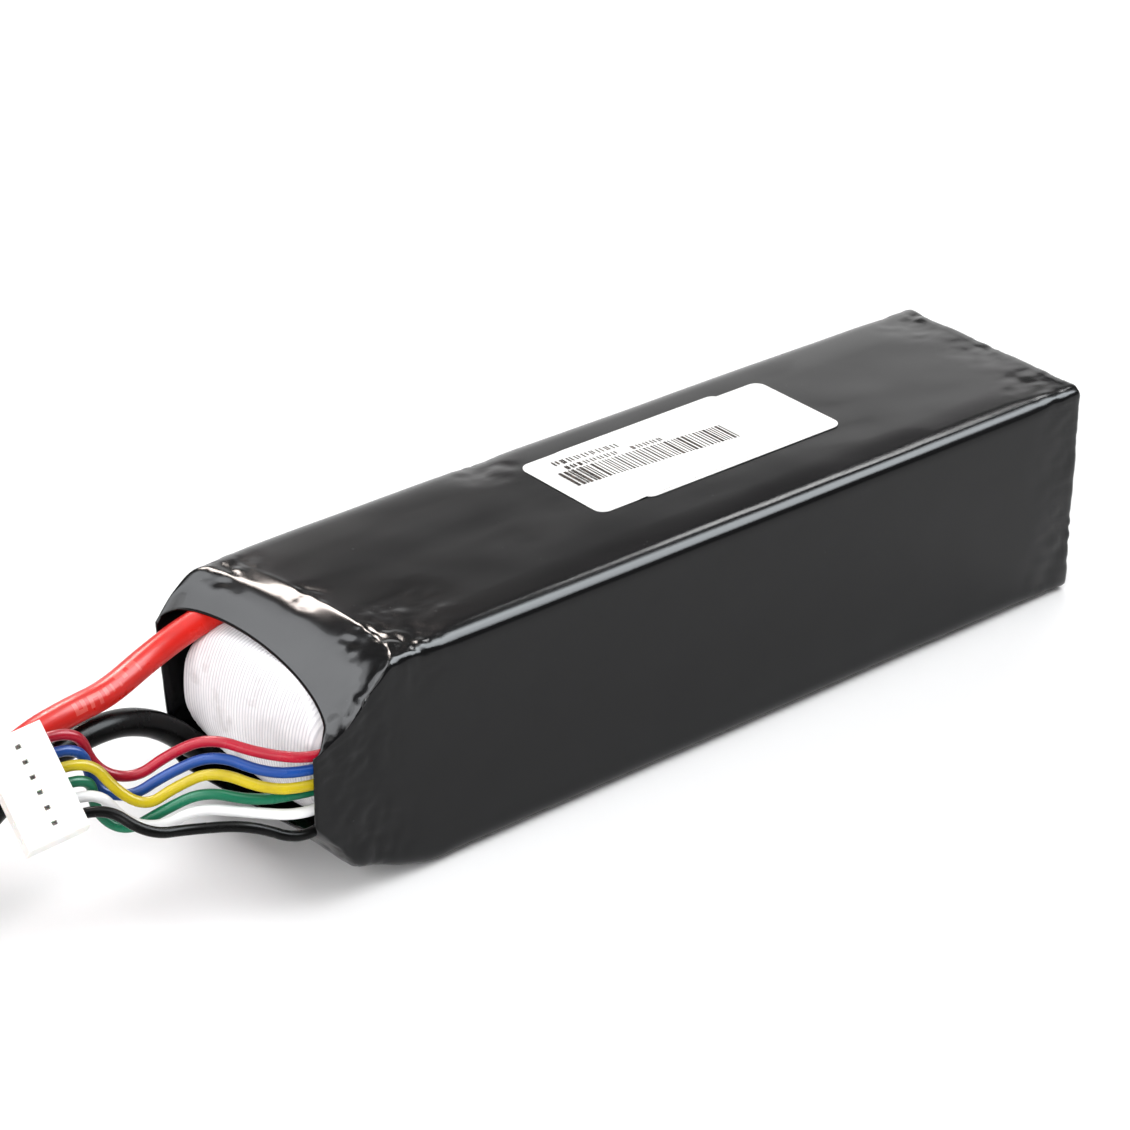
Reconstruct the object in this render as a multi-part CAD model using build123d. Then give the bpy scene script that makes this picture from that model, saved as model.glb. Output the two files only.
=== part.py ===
from build123d import *
import math
import os

# A five-cell lithium polymer pack in a black shrink sleeve, in millimetres.
# +X runs from the mouth that the leads leave to the closed rear end, +Z is up,
# and the origin is under the middle of the sleeve, on the surface it rests on.

# ---- driving dimensions -------------------------------------------------
LENGTH = 163.0            # shrink sleeve, from the rim of its mouth to its rear
WIDTH = 43.0
HEIGHT = 39.8
SLEEVE_WALL = 0.5
EDGE_RADIUS = 3.0
MOUTH_DEPTH = 12.0        # how far the mouth's side walls stand past the top edge

CELLS = 5
CELL_WIDTH = 41.2
CELL_FRONT = -60.5
CELL_REAR = 77.5
SEAL_LEDGE = 4.0
SEAL_THICKNESS = 0.4
SPACER_THICKNESS = 0.3
GUARD_THICKNESS = 0.8
GUARD_WIDTH = 36.4
TAPE_THICKNESS = 0.15
TAPE_WIDTH = 18.0
TAPE_CORNER = 1.6
STACK_CLEARANCE = 0.4     # sleeve's inner face to the guard boards

TAB_WIDTH = 9.0
TAB_OFFSET = 8.0
TAB_THICKNESS = 0.2
TAB_LEG = 2.0

BOARD_FRONT = -69.0
BOARD_THICKNESS = 1.6
BOARD_WIDTH = 37.6
BOARD_LOW = 3.6
BOARD_HIGH = 36.8
INSULATION_X = -66.2
LINK_THICKNESS = 0.6

FOAM_REAR = -71.6         # soft pad in the mouth, between the two main leads
FOAM_FRONT = -79.1
FOAM_WIDTH = 37.0
FOAM_HEIGHT = 26.6
FOAM_CORNER = 4.0
FOAM_MIDDLE = (1.4, 22.9)  # y, z
PAD_TAPE = 0.4

LABEL_LENGTH = 43.0
LABEL_WIDTH = 21.3
LABEL_THICKNESS = 0.12
LABEL_CORNER = 2.0

MAIN_LEAD = 4.5           # 12 gauge silicone lead, outside diameter
SENSE_LEAD = 1.7          # 22 gauge silicone lead, outside diameter
SENSE_PITCH = 2.5
SENSE_NAMES = ["red", "blue", "yellow", "green", "white", "black"]
SENSE_HEIGHTS = [26.4, 24.1, 21.8, 19.8, 17.9, 16.0]
SENSE_PAD_Y = -18.2
SENSE_SOLDER = 0.6

BALANCE_WIDTH = 17.4
BALANCE_THICKNESS = 5.75
BALANCE_LENGTH = 9.8
BALANCE_CAVITY = 1.95
BALANCE_CAVITY_DEPTH = 8.2
WINDOW_WIDTH = 0.7
WINDOW_LENGTH = 0.9
BALANCE_PLANE = Plane(
    origin=(-111.7, 1.5, 25.8), x_dir=(0.008, -0.697, -0.717), z_dir=(-0.956, 0.205, -0.21)
)

PLUG_REAR = -168.0        # power plug: the end that its leads enter
PLUG_Y = 2.8
PLUG_WIDTH = 15.9
PLUG_HEIGHT = 8.1
PLUG_BODY = 16.0
PLUG_CHAMFER = 2.4
NOSE_WIDTH = 13.6
NOSE_HEIGHT = 6.0
NOSE_LENGTH = 8.0
SOCKET_PITCH = 7.2
SOCKET_OUTSIDE = 4.5
SOCKET_BORE = 3.5
SOCKET_DEPTH = 11.0
CUP_LENGTH = 3.5
CUP_BORE = 3.4
CUP_DEPTH = 3.0
LEAD_END = PLUG_REAR + CUP_LENGTH
SOLDER_SLEEVE_LENGTH = 8.0
SOLDER_SLEEVE_OUTSIDE = 5.9

REAR = LENGTH / 2
RIM = -LENGTH / 2
RIDGE = RIM + MOUTH_DEPTH
HALF_WIDTH = WIDTH / 2
GUARD_BASE = SLEEVE_WALL + STACK_CLEARANCE
CELL_BASE = GUARD_BASE + GUARD_THICKNESS
CELL_PITCH = (HEIGHT - 2 * CELL_BASE + SPACER_THICKNESS) / CELLS
CELL_THICKNESS = CELL_PITCH - SPACER_THICKNESS

parts = {}


def cell_level(number):
    """Height of the middle of a cell, counted from 1 at the bottom."""
    return CELL_BASE + CELL_THICKNESS / 2 + (number - 1) * CELL_PITCH


def block(x0, x1, y0, y1, z0, z1):
    """A box between two corners."""
    middle = ((x0 + x1) / 2, (y0 + y1) / 2, (z0 + z1) / 2)
    return Pos(*middle) * Box(x1 - x0, y1 - y0, z1 - z0)


def rod_between(start, end, radius):
    """A round rod from one point to another."""
    run = Vector(*end) - Vector(*start)
    plane = Plane(origin=start, z_dir=run)
    return extrude(plane * Circle(radius), run.length)


def capsule_cut(points, radius):
    """Room for a lead: a rod along each run, and a ball at each corner."""
    room = [rod_between(a, b, radius) for a, b in zip(points, points[1:])]
    room += [Pos(*p) * Sphere(radius) for p in points[1:-1]]
    return room


# ---- leads --------------------------------------------------------------
def lead(points, diameter):
    """A lead's tube: straight runs joined by the largest arcs that they allow."""
    corners = [Vector(*p) for p in points]
    radii = []
    for before, corner, after in zip(corners, corners[1:], corners[2:]):
        turn = (corner - before).get_angle(after - corner)
        shorter = min((corner - before).length, (after - corner).length)
        radii.append(0.45 * shorter / math.tan(math.radians(turn / 2)))
    path = FilletPolyline(*corners, radius=radii)
    section = Plane(origin=path @ 0, z_dir=path % 0) * Circle(diameter / 2)
    tube = sweep(section, path=path)
    expected = math.pi * diameter**2 / 4 * path.length
    print(
        f"length {path.length:.1f}  volume ratio {tube.volume / expected:.4f}  radii",
        [round(r, 1) for r in radii],
    )
    return tube


POSITIVE_ROUTE = [
    (-70.7, 15.4, 35.0),
    (-77.3, 17.0, 32.7),
    (-85.5, 17.3, 29.6),
    (-95.1, 14.8, 27.6),
    (-102.5, 13.8, 27.7),
    (-110.4, 13.7, 26.3),
    (-118.7, 13.7, 21.9),
    (-128.0, 11.2, 17.0),
    (-137.0, 8.6, 11.6),
    (-146.0, 7.0, 7.2),
    (-155.5, PLUG_Y + SOCKET_PITCH / 2, PLUG_HEIGHT / 2),
    (LEAD_END, PLUG_Y + SOCKET_PITCH / 2, PLUG_HEIGHT / 2),
]
NEGATIVE_ROUTE = [
    (-70.7, 13.5, 7.6),
    (-77.5, 15.5, 9.8),
    (-83.8, 16.4, 16.9),
    (-91.7, 15.2, 21.5),
    (-99.5, 14.2, 22.6),
    (-107.1, 13.6, 21.2),
    (-115.0, 13.6, 17.6),
    (-123.0, 12.2, 13.4),
    (-131.5, 8.2, 9.4),
    (-141.0, 3.0, 6.0),
    (-153.5, PLUG_Y - SOCKET_PITCH / 2, PLUG_HEIGHT / 2),
    (LEAD_END, PLUG_Y - SOCKET_PITCH / 2, PLUG_HEIGHT / 2),
]
# The hand-laid stretch of each sense lead, between the board and the plug.
SENSE_ROUTES = {
    "red": [
        (-75.2, -18.9, 26.5), (-81.1, -18.5, 26.2), (-86.2, -12.7, 26.4), (-90.6, -6.1, 27.9),
        (-95.2, -1.9, 24.8), (-99.9, 0.9, 20.7), (-104.8, 4.1, 22.8),
    ],
    "blue": [
        (-75.2, -18.9, 24.2), (-81.3, -18.4, 24.1), (-86.4, -14.4, 23.8), (-91.1, -7.8, 26.1),
        (-96.8, -3.3, 22.5), (-102.0, -0.8, 19.0), (-106.3, 2.4, 20.9),
    ],
    "yellow": [
        (-75.2, -19.0, 21.9), (-81.5, -19.3, 22.0), (-87.0, -15.7, 21.7), (-92.2, -9.2, 24.3),
        (-97.1, -5.6, 21.3), (-101.1, -4.4, 19.1), (-104.4, -1.8, 21.4),
    ],
    "green": [
        (-75.4, -18.6, 19.9), (-81.8, -17.4, 20.0), (-88.5, -14.3, 19.7), (-94.2, -9.4, 21.5),
        (-99.1, -5.4, 18.0), (-104.1, -2.7, 14.8), (-107.5, 0.4, 18.1),
    ],
    "white": [
        (-75.6, -19.0, 17.9), (-83.2, -19.2, 17.5), (-89.2, -14.6, 18.1), (-95.4, -9.2, 18.9),
        (-100.7, -7.3, 16.5), (-105.2, -4.1, 17.8),
    ],
    "black": [
        (-75.8, -19.0, 15.9), (-83.3, -19.2, 12.9), (-90.4, -15.7, 17.0), (-97.6, -10.8, 16.8),
        (-104.9, -10.1, 18.3),
    ],
}
STRAIGHT_BEFORE_PLUG = 5.0     # the red lead's; each next lead turns in closer to the plug
STRAIGHT_STEP = 0.35
WIRE_IN_PLUG = 2.0


def sense_offset(index):
    """Place of a sense lead across the balance plug."""
    return (index - (len(SENSE_NAMES) - 1) / 2) * SENSE_PITCH


def in_balance_plug(across, through, along):
    """A point given in the balance plug's own directions."""
    return BALANCE_PLANE.from_local_coords(Vector(across, through, along))


def make_leads():
    parts["positive_lead"] = lead(POSITIVE_ROUTE, MAIN_LEAD)
    parts["negative_lead"] = lead(NEGATIVE_ROUTE, MAIN_LEAD)
    for index, name in enumerate(SENSE_NAMES):
        start = (BOARD_FRONT - SENSE_SOLDER, SENSE_PAD_Y, SENSE_HEIGHTS[index])
        across = sense_offset(index)
        straight = STRAIGHT_BEFORE_PLUG - STRAIGHT_STEP * index
        ends = [
            tuple(in_balance_plug(across, 0, -straight)),
            tuple(in_balance_plug(across, 0, WIRE_IN_PLUG)),
        ]
        route = [start] + SENSE_ROUTES[name] + ends
        parts[f"balance_lead_{name}"] = lead(route, SENSE_LEAD)


# ---- shrink sleeve ------------------------------------------------------
# Each station of the sleeve: x, half width, bottom at the near side, bottom at
# the far side, top, corner radius. The rear edge is rounded by a short step.
SLEEVE_STATIONS = [
    (REAR, HALF_WIDTH - 1.0, 1.0, 1.0, HEIGHT - 1.0, EDGE_RADIUS),
    (REAR - 2.0, HALF_WIDTH, 0.0, 0.0, HEIGHT, EDGE_RADIUS),
    (RIDGE + 10.0, HALF_WIDTH, 0.0, 0.0, HEIGHT, EDGE_RADIUS),
    (RIDGE + 2.0, HALF_WIDTH, 2.0, 1.6, HEIGHT - 0.1, EDGE_RADIUS + 0.5),
    (RIDGE - 5.5, HALF_WIDTH - 0.1, 6.0, 4.0, HEIGHT - 1.2, EDGE_RADIUS + 1.5),
    (RIM, HALF_WIDTH - 0.6, 11.0, 7.5, HEIGHT - 3.3, EDGE_RADIUS + 2.0),
]
MOUTH_BITE_RADIUS = 36.0  # the rim bows back between the side walls
MOUTH_BITE_DEPTH = 4.0
REAR_OPENING = (29.0, 26.0)
REAR_OPENING_RADIUS = 6.0


def sleeve_section(station, inset, x):
    """The sleeve's section at one station, moved in by the wall's thickness."""
    _, half, near_bottom, far_bottom, top, radius = station
    half -= inset
    corners = [
        (x, -half, near_bottom + inset),
        (x, half, far_bottom + inset),
        (x, half, top - inset),
        (x, -half, top - inset),
    ]
    outline = Polyline(*corners, close=True)
    outline = fillet(outline.vertices(), radius - inset)
    return make_face(outline)


def make_sleeve():
    outer = loft([sleeve_section(s, 0.0, s[0]) for s in SLEEVE_STATIONS], ruled=True)
    inner_x = [REAR - SLEEVE_WALL] + [s[0] for s in SLEEVE_STATIONS[1:-1]] + [RIM - 0.01]
    inner = loft(
        [sleeve_section(s, SLEEVE_WALL, x) for s, x in zip(SLEEVE_STATIONS, inner_x)], ruled=True
    )
    bite = Pos(RIM + MOUTH_BITE_DEPTH - MOUTH_BITE_RADIUS, 0, HEIGHT / 2) * Cylinder(
        MOUTH_BITE_RADIUS, HEIGHT * 2
    )
    face = Plane(origin=(REAR + 1, 0, HEIGHT / 2), x_dir=(0, 1, 0), z_dir=(-1, 0, 0))
    opening = extrude(face * RectangleRounded(*REAR_OPENING, REAR_OPENING_RADIUS), 3.0)
    parts["shrink_sleeve"] = outer - inner - bite - opening


def make_labels():
    """Two labels of one size: the upper one laps over the lower one and steps up at its edge."""
    lower_x, lower_y = 17.2, 4.4
    upper_x, upper_y = 7.9, 5.1
    step = 0.4
    low_edge = lower_x - LABEL_LENGTH / 2
    once, twice = HEIGHT + LABEL_THICKNESS, HEIGHT + 2 * LABEL_THICKNESS
    shape = RectangleRounded(LABEL_LENGTH, LABEL_WIDTH, LABEL_CORNER)
    lower = Pos(lower_x, lower_y, HEIGHT) * extrude(shape, LABEL_THICKNESS)
    upper = Pos(upper_x, upper_y, HEIGHT) * extrude(shape, 2 * LABEL_THICKNESS)
    half = LABEL_WIDTH / 2
    under = block(low_edge, low_edge + LABEL_LENGTH, lower_y - half, lower_y + half, HEIGHT - 1, once)
    above = block(RIDGE, low_edge - step, -HALF_WIDTH, HALF_WIDTH, once, twice + 1)
    parts["label_lower"] = lower
    parts["label_upper"] = upper - above - under


# ---- cells --------------------------------------------------------------
def make_cells():
    for number in range(1, CELLS + 1):
        level = cell_level(number)
        body = block(
            CELL_FRONT, CELL_REAR, -CELL_WIDTH / 2, CELL_WIDTH / 2,
            level - CELL_THICKNESS / 2, level + CELL_THICKNESS / 2,
        )
        body = fillet(body.edges().filter_by(Axis.Z), 2.5)
        body = fillet(body.edges().filter_by(Plane.XY), 1.2)
        ledge = block(
            CELL_FRONT - SEAL_LEDGE, CELL_FRONT + 2.6, -CELL_WIDTH / 2 + 1, CELL_WIDTH / 2 - 1,
            level - SEAL_THICKNESS / 2, level + SEAL_THICKNESS / 2,
        )
        parts[f"cell_{number}"] = body + ledge
    for number in range(1, CELLS):
        low = cell_level(number) + CELL_THICKNESS / 2
        parts[f"cell_spacer_{number}"] = block(
            CELL_FRONT + 4, CELL_REAR - 4, -CELL_WIDTH / 2 + 3, CELL_WIDTH / 2 - 3,
            low, low + SPACER_THICKNESS,
        )


def tab_side(number, pole):
    """Cells lie turned about in turn, so that unlike tabs stack up."""
    negative_far = number % 2 == 1
    far = negative_far if pole == "negative" else not negative_far
    return TAB_OFFSET if far else -TAB_OFFSET


def make_tabs():
    """Each tab runs through the board and folds up or down against its front."""
    for number in range(1, CELLS + 1):
        level = cell_level(number)
        for pole in ("positive", "negative"):
            middle = tab_side(number, pole)
            y0, y1 = middle - TAB_WIDTH / 2, middle + TAB_WIDTH / 2
            strip = block(
                BOARD_FRONT - TAB_THICKNESS, CELL_FRONT - SEAL_LEDGE, y0, y1,
                level - TAB_THICKNESS / 2, level + TAB_THICKNESS / 2,
            )
            up = pole == "positive" or number == 1
            leg_low, leg_high = (level, level + TAB_LEG) if up else (level - TAB_LEG, level)
            leg = block(BOARD_FRONT - TAB_THICKNESS, BOARD_FRONT, y0, y1, leg_low, leg_high)
            parts[f"cell_{number}_{pole}_tab"] = strip + leg


# ---- tab board and its copper --------------------------------------------
def tab_slots(x0, x1):
    """Slots for the ten tabs, through anything between x0 and x1."""
    return [
        block(x0, x1, side - TAB_WIDTH / 2 - 0.3, side + TAB_WIDTH / 2 + 0.3,
              cell_level(n) - 0.3, cell_level(n) + 0.3)
        for n in range(1, CELLS + 1)
        for side in (-TAB_OFFSET, TAB_OFFSET)
    ]


def make_board():
    half = BOARD_WIDTH / 2
    rear = BOARD_FRONT + BOARD_THICKNESS
    board = block(BOARD_FRONT, rear, -half, half, BOARD_LOW, BOARD_HIGH)
    for slot in tab_slots(BOARD_FRONT - 1, rear + 1):
        board -= slot
    parts["tab_board"] = board
    sheet = block(INSULATION_X, INSULATION_X + 0.2, -half, half, BOARD_LOW, BOARD_HIGH)
    for slot in tab_slots(INSULATION_X - 1, INSULATION_X + 1):
        sheet -= slot
    parts["insulation_sheet"] = sheet

    bar_rear = BOARD_FRONT - TAB_THICKNESS
    bar_front = bar_rear - LINK_THICKNESS
    for number in range(1, CELLS):
        side = tab_side(number, "positive")
        parts[f"series_link_{number}"] = block(
            bar_front, bar_rear, side - TAB_WIDTH / 2 + 0.5, side + TAB_WIDTH / 2 - 0.5,
            cell_level(number) + 0.3, cell_level(number + 1) - 0.3,
        )
    top = cell_level(CELLS)
    bar = block(bar_front, bar_rear, -TAB_OFFSET - 4, 19.0, top + 0.4, BOARD_HIGH - 0.2)
    foot = block(bar_front, bar_rear, 13.0, 19.0, 31.8, top + 1.0)
    parts["positive_bus_bar"] = bar + foot
    parts["negative_bus_bar"] = block(
        bar_front, bar_rear, TAB_OFFSET - 4, 18.0, cell_level(1) + 0.3, cell_level(1) + 4.6
    )

    joints = []
    for x, y, z in (POSITIVE_ROUTE[0], NEGATIVE_ROUTE[0]):
        joints.append(rod_between((bar_front, y, z), (x, y, z), MAIN_LEAD / 2 + 0.3))
    parts["main_solder_joints"] = Compound(children=joints)
    joints = [
        rod_between(
            (BOARD_FRONT, SENSE_PAD_Y, z), (BOARD_FRONT - SENSE_SOLDER, SENSE_PAD_Y, z),
            SENSE_LEAD / 2 + 0.05,
        )
        for z in SENSE_HEIGHTS
    ]
    parts["balance_solder_joints"] = Compound(children=joints)


# ---- guards, tapes and pads ----------------------------------------------
def rounded_block(x0, x1, width, height, corner, y=0.0, z=HEIGHT / 2):
    """A block along X with rounded long edges."""
    face = Plane(origin=(x0, y, z), x_dir=(0, 1, 0), z_dir=(1, 0, 0))
    return extrude(face * RectangleRounded(width, height, corner), x1 - x0)


def make_packing():
    front, rear = CELL_FRONT + 1, CELL_REAR - 0.5
    half = GUARD_WIDTH / 2
    top = HEIGHT - GUARD_BASE
    parts["lower_guard_board"] = block(
        front, rear, -half, half, GUARD_BASE, GUARD_BASE + GUARD_THICKNESS
    )
    parts["upper_guard_board"] = block(front, rear, -half, half, top - GUARD_THICKNESS, top)
    stack_height = top - GUARD_BASE
    for name, x in (("front", -32.0), ("rear", 42.0)):
        outer = rounded_block(
            x, x + TAPE_WIDTH, CELL_WIDTH + 2 * TAPE_THICKNESS,
            stack_height + 2 * TAPE_THICKNESS, TAPE_CORNER + TAPE_THICKNESS,
        )
        core = rounded_block(x - 1, x + TAPE_WIDTH + 1, CELL_WIDTH, stack_height, TAPE_CORNER)
        parts[f"binding_tape_{name}"] = outer - core

    y, z = FOAM_MIDDLE
    pad = rounded_block(FOAM_FRONT, FOAM_REAR, FOAM_WIDTH, FOAM_HEIGHT, FOAM_CORNER, y, z)
    pad = fillet(pad.faces().sort_by(Axis.X)[0].edges(), 1.6)
    tape = rounded_block(
        FOAM_FRONT - PAD_TAPE, FOAM_FRONT, FOAM_WIDTH - 3.6, FOAM_HEIGHT - 3.6, FOAM_CORNER, y, z
    )
    room = capsule_cut(POSITIVE_ROUTE[:4], MAIN_LEAD / 2 + 0.6)
    room += capsule_cut(NEGATIVE_ROUTE[:4], MAIN_LEAD / 2 + 0.6)
    for lead_room in room:
        pad -= lead_room
        tape -= lead_room
    parts["front_foam_block"] = pad
    parts["front_tape"] = tape

    wall = REAR - SLEEVE_WALL
    rear_pad = block(CELL_REAR + 0.2, wall - 0.7, -19.0, 19.0, 3.0, HEIGHT - 3.0)
    parts["rear_foam_pad"] = fillet(rear_pad.faces().sort_by(Axis.X)[-1].edges(), 1.2)
    parts["rear_tape"] = block(wall - 0.7, wall - 0.3, -17.6, 17.6, 4.4, HEIGHT - 4.4)


# ---- balance plug ---------------------------------------------------------
def make_balance_plug():
    """Six-way white housing: lead cavities behind, pin holes in front."""
    body = extrude(RectangleRounded(BALANCE_WIDTH, BALANCE_THICKNESS, 0.4), BALANCE_LENGTH)
    for side in (-1, 1):
        rib = Pos(side * (BALANCE_WIDTH / 2 - 2.4), -BALANCE_THICKNESS / 2 - 0.3, 0)
        body += rib * extrude(Rectangle(1.1, 1.0), BALANCE_LENGTH - 1.5)
    contacts = []
    for index in range(len(SENSE_NAMES)):
        at = Pos(sense_offset(index), 0, 0)
        body -= at * extrude(Rectangle(BALANCE_CAVITY, BALANCE_CAVITY), BALANCE_CAVITY_DEPTH)
        body -= at * extrude(Rectangle(1.1, 1.1), BALANCE_LENGTH)
        window = Pos(0, BALANCE_THICKNESS / 2, 4.6) * Box(WINDOW_WIDTH, BALANCE_THICKNESS, WINDOW_LENGTH)
        body -= at * window
        contact = Pos(0, 0, WIRE_IN_PLUG) * extrude(Rectangle(1.6, 1.6), 5.6)
        pin_hole = Pos(0, 0, WIRE_IN_PLUG + 1.2) * extrude(Rectangle(0.8, 0.8), 5.6)
        contacts.append(BALANCE_PLANE.location * at * (contact - pin_hole))
    parts["balance_plug_housing"] = BALANCE_PLANE.location * body
    parts["balance_plug_contacts"] = Compound(children=contacts)


# ---- power plug -----------------------------------------------------------
def make_power_plug():
    """Two-way plug lying flat: sockets in its nose, solder cups at its rear."""
    middle = PLUG_HEIGHT / 2
    rear = Plane(origin=(PLUG_REAR, PLUG_Y, middle), x_dir=(0, 1, 0), z_dir=(-1, 0, 0))
    front = rear.offset(PLUG_BODY)

    def keyed(width, height, chamfer):
        """A rectangle with both corners of its negative side cut off."""
        half, tall = width / 2, height / 2
        return Polygon(
            (half, -tall), (half, tall), (-half + chamfer, tall), (-half, tall - chamfer),
            (-half, -tall + chamfer), (-half + chamfer, -tall), align=None,
        )

    body = extrude(rear * keyed(PLUG_WIDTH, PLUG_HEIGHT, PLUG_CHAMFER), PLUG_BODY)
    body += extrude(front * keyed(NOSE_WIDTH, NOSE_HEIGHT, PLUG_CHAMFER - 0.4), NOSE_LENGTH)
    for rib in range(5):
        x = PLUG_REAR - 3.0 - 2.2 * rib
        for z in (0.0, PLUG_HEIGHT):
            body -= Pos(x, PLUG_Y, z) * Box(1.0, PLUG_WIDTH * 0.6, 0.8)
    whole = PLUG_BODY + NOSE_LENGTH
    for pole, side in (("positive", 1), ("negative", -1)):
        y = PLUG_Y + side * SOCKET_PITCH / 2
        line = Plane(origin=(PLUG_REAR, y, middle), z_dir=(-1, 0, 0))
        body -= extrude(line * Circle(SOCKET_OUTSIDE / 2), whole)
        cup_end = line.offset(-CUP_LENGTH)
        mouth = line.offset(whole)
        socket = extrude(cup_end * Circle(SOCKET_OUTSIDE / 2), CUP_LENGTH + whole)
        socket -= extrude(mouth * Circle(SOCKET_BORE / 2), -SOCKET_DEPTH)
        socket -= extrude(cup_end * Circle(CUP_BORE / 2), CUP_DEPTH)
        parts[f"power_plug_{pole}_socket"] = socket
        ring = Circle(SOLDER_SLEEVE_OUTSIDE / 2) - Circle(MAIN_LEAD / 2 + 0.1)
        parts[f"{pole}_solder_sleeve"] = extrude(line * ring, -SOLDER_SLEEVE_LENGTH)
    parts["power_plug_body"] = body


make_sleeve()
make_labels()
make_cells()
make_tabs()
make_board()
make_packing()
make_leads()
make_balance_plug()
make_power_plug()

os.makedirs("parts", exist_ok=True)
for node, shape in parts.items():
    shape.label = node
    export_step(shape, f"parts/{node}.step")
print(len(parts), "nodes")
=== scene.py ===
import math
import random

import bmesh
import bpy
import numpy as np
from mathutils import Matrix, Vector, noise


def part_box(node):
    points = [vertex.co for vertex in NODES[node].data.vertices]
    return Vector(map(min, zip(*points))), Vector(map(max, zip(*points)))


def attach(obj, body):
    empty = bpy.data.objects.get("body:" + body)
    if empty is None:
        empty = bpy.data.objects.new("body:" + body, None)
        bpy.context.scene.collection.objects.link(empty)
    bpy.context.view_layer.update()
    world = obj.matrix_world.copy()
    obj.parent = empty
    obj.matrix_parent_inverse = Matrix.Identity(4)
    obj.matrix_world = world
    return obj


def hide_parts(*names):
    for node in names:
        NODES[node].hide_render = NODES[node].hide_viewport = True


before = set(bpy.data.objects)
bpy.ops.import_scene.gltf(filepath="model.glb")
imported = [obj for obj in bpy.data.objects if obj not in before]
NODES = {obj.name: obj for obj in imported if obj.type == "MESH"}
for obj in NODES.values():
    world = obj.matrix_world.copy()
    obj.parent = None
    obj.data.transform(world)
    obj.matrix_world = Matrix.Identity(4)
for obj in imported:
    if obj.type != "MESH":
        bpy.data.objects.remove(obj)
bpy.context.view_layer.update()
MM = 0.001

SLEEVE_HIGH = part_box("shrink_sleeve")[1]
HALF_WIDTH = SLEEVE_HIGH.y / MM
HEIGHT = SLEEVE_HIGH.z / MM


# ---- node helpers -----------------------------------------------------------
class Shader:
    """A small builder for one principled material."""

    def __init__(self, name):
        self.material = bpy.data.materials.new(name)
        self.material.use_nodes = True
        self.nodes = self.material.node_tree.nodes
        self.links = self.material.node_tree.links
        self.nodes.clear()
        self.principled = self.nodes.new("ShaderNodeBsdfPrincipled")
        output = self.nodes.new("ShaderNodeOutputMaterial")
        self.links.new(self.principled.outputs["BSDF"], output.inputs["Surface"])
        self.place = self.nodes.new("ShaderNodeTexCoord").outputs["Object"]

    def set(self, **values):
        """Sets the shader's own sockets; an underscore in a name stands for a space."""
        for key, value in values.items():
            self.principled.inputs[key.replace("_", " ")].default_value = value

    def link(self, source, socket):
        self.links.new(source, self.principled.inputs[socket])

    def across(self):
        """The Y coordinate: the distance from the pack's middle plane."""
        split = self.nodes.new("ShaderNodeSeparateXYZ")
        self.links.new(self.place, split.inputs["Vector"])
        return split.outputs["Y"]

    def scaled(self, scale):
        """Object coordinates stretched by a factor along each axis."""
        mapping = self.nodes.new("ShaderNodeMapping")
        mapping.inputs["Scale"].default_value = scale
        self.links.new(self.place, mapping.inputs["Vector"])
        return mapping.outputs["Vector"]

    def noise(self, scale, detail=3.0, roughness=0.5, vector=None, distortion=0.0):
        node = self.nodes.new("ShaderNodeTexNoise")
        node.inputs["Scale"].default_value = scale
        node.inputs["Detail"].default_value = detail
        node.inputs["Roughness"].default_value = roughness
        node.inputs["Distortion"].default_value = distortion
        self.links.new(vector or self.place, node.inputs["Vector"])
        return node.outputs["Fac"]

    def ramp(self, value, stops):
        """A colour ramp; each stop is (position, colour or grey)."""
        node = self.nodes.new("ShaderNodeValToRGB")
        elements = node.color_ramp.elements
        while len(elements) > 1:
            elements.remove(elements[-1])
        for index, (position, colour) in enumerate(stops):
            element = elements[0] if index == 0 else elements.new(position)
            element.position = position
            grey = isinstance(colour, (int, float))
            element.color = (colour, colour, colour, 1) if grey else (*colour, 1)
        self.links.new(value, node.inputs["Fac"])
        return node.outputs["Color"]

    def mix(self, factor, first, second, blend="MIX"):
        node = self.nodes.new("ShaderNodeMix")
        node.data_type = "RGBA"
        node.blend_type = blend
        for socket, value in ((0, factor), (6, first), (7, second)):
            if isinstance(value, bpy.types.NodeSocket):
                self.links.new(value, node.inputs[socket])
            elif isinstance(value, (int, float)):
                node.inputs[socket].default_value = value
            else:
                node.inputs[socket].default_value = (*value, 1)
        return node.outputs[2]

    def math(self, operation, first, second=0.0):
        node = self.nodes.new("ShaderNodeMath")
        node.operation = operation
        for socket, value in zip(node.inputs, (first, second)):
            if isinstance(value, bpy.types.NodeSocket):
                self.links.new(value, socket)
            else:
                socket.default_value = value
        return node.outputs["Value"]

    def distance(self, centre):
        """How far a point is from a centre, in metres."""
        node = self.nodes.new("ShaderNodeVectorMath")
        node.operation = "DISTANCE"
        self.links.new(self.place, node.inputs[0])
        node.inputs[1].default_value = centre
        return node.outputs["Value"]

    def bump(self, height, strength, distance):
        node = self.nodes.new("ShaderNodeBump")
        node.inputs["Strength"].default_value = strength
        node.inputs["Distance"].default_value = distance
        self.links.new(height, node.inputs["Height"])
        self.links.new(node.outputs["Normal"], self.principled.inputs["Normal"])


def shade(material, *objects):
    """Gives each object this one material."""
    for piece in objects:
        piece.data.materials.clear()
        piece.data.materials.append(material)


# ---- materials --------------------------------------------------------------
CROWN_START = 0.0125       # metres from the middle plane, where the film starts to sink
CROWN_SINK = 6.0           # height lost per square of the distance past that
RIPPLE_HEIGHT = 0.000012   # metres


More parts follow.
